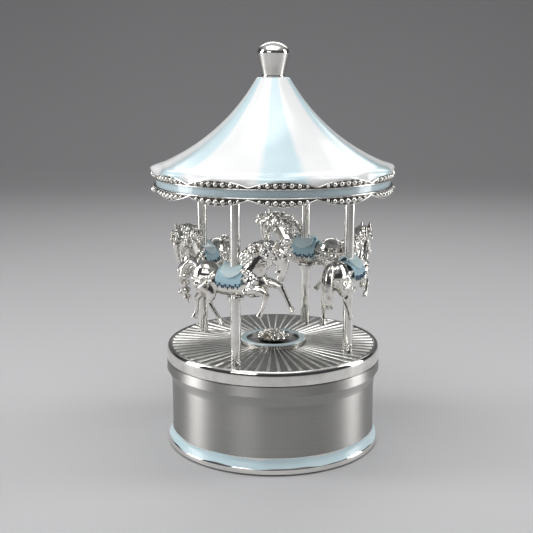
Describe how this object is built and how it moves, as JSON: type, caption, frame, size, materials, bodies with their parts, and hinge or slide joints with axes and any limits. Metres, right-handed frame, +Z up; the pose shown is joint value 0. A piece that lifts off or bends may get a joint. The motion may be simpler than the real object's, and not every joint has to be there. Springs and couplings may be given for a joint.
{
  "type": "carousel music box",
  "caption": "Wind-up carousel music box: horses on poles turn under a scalloped tent canopy above a drum with a musical movement.",
  "frame": {"origin": "on the turning axis, at the face of the felt that the box stands on", "axes": "+Z up along the turning axis, -Y towards the viewer's side"},
  "size_m": [0.106, 0.106, 0.1777],
  "materials": {
    "silver_plate": "polished silver plate",
    "drum_steel": "satin brushed silver plate",
    "blue_enamel": "gloss pale blue enamel",
    "white_enamel": "gloss white and pale blue enamel",
    "felt": "pressed felt",
    "nylon": "natural nylon",
    "brass": "turned brass",
    "movement_steel": "bright steel",
    "zinc": "cast and stamped zinc"
  },
  "bodies": {
    "base": {"bedplate": "zinc", "bedplate_screws": "movement_steel", "bottom_plate": "zinc", "bottom_plate_screws": "movement_steel", "click_spring": "movement_steel", "collar_ring": "drum_steel", "comb": "movement_steel", "comb_block": "zinc", "comb_screws": "movement_steel", "cylinder_bearing": "zinc", "drum_wall": "drum_steel", "felt_ring": "felt", "foot_ring": "silver_plate", "glide_ring": "nylon", "governor_bracket": "zinc", "top_plate": "zinc", "top_plate_screws": "movement_steel"},
    "carousel": {"spring_barrel": "brass", "barrel_cap": "brass", "mainspring": "movement_steel", "output_shaft": "movement_steel", "turntable": "silver_plate", "hub_screw": "movement_steel", "pole_screws": "movement_steel", "centre_dish": "blue_enamel", "dish_flower": "silver_plate", "canopy_ceiling": "zinc", "ceiling_screws": "movement_steel", "valance": "blue_enamel", "lower_bead_trim": "silver_plate", "upper_bead_trim": "silver_plate", "canopy_roof": "white_enamel", "tie_rod": "movement_steel", "rod_nut": "movement_steel", "finial": "silver_plate", "front_pole": "silver_plate", "front_horse": "silver_plate", "front_saddle": "blue_enamel", "right_pole": "silver_plate", "right_horse": "silver_plate", "right_saddle": "blue_enamel", "back_pole": "silver_plate", "back_horse": "silver_plate", "back_saddle": "blue_enamel", "left_pole": "silver_plate", "left_horse": "silver_plate", "left_saddle": "blue_enamel", "belly_collars": "silver_plate"},
    "key": {"winding_key": "silver_plate", "winding_shaft": "movement_steel"},
    "cylinder": {"cylinder_arbor": "movement_steel", "cylinder_pinion": "brass", "pinned_cylinder": "brass", "cylinder_gear": "brass"},
    "governor_wheel": {"governor_arbor": "movement_steel", "governor_pinion": "brass", "worm_wheel": "brass"},
    "fan": {"worm_shaft": "movement_steel", "fly": "zinc"}
  },
  "joints": [
    {"name": "carousel_spin", "type": "hinge", "parent": "base", "child": "carousel", "pos_m": [0, 0, 0], "axis": [0, 0, 1], "continuous": true},
    {"name": "key_wind", "type": "hinge", "parent": "base", "child": "key", "pos_m": [0, 0, 0], "axis": [0, 0, 1], "range_deg": [0, 1170]},
    {"name": "cylinder_spin", "type": "hinge", "parent": "base", "child": "cylinder", "pos_m": [0.025, 0, 0.02327], "axis": [1, 0, 0], "continuous": true},
    {"name": "governor_spin", "type": "hinge", "parent": "base", "child": "governor_wheel", "pos_m": [0.027, 0.0116, 0.02327], "axis": [1, 0, 0], "continuous": true},
    {"name": "fan_spin", "type": "hinge", "parent": "base", "child": "fan", "pos_m": [0.027, 0.01705, 0.025], "axis": [0, 0, 1], "continuous": true}
  ],
  "couplings": [
    {"joint": "cylinder_spin", "follows": "carousel_spin", "ratio": 4},
    {"joint": "governor_spin", "follows": "carousel_spin", "ratio": -12.571},
    {"joint": "fan_spin", "follows": "carousel_spin", "ratio": 125.71}
  ]
}
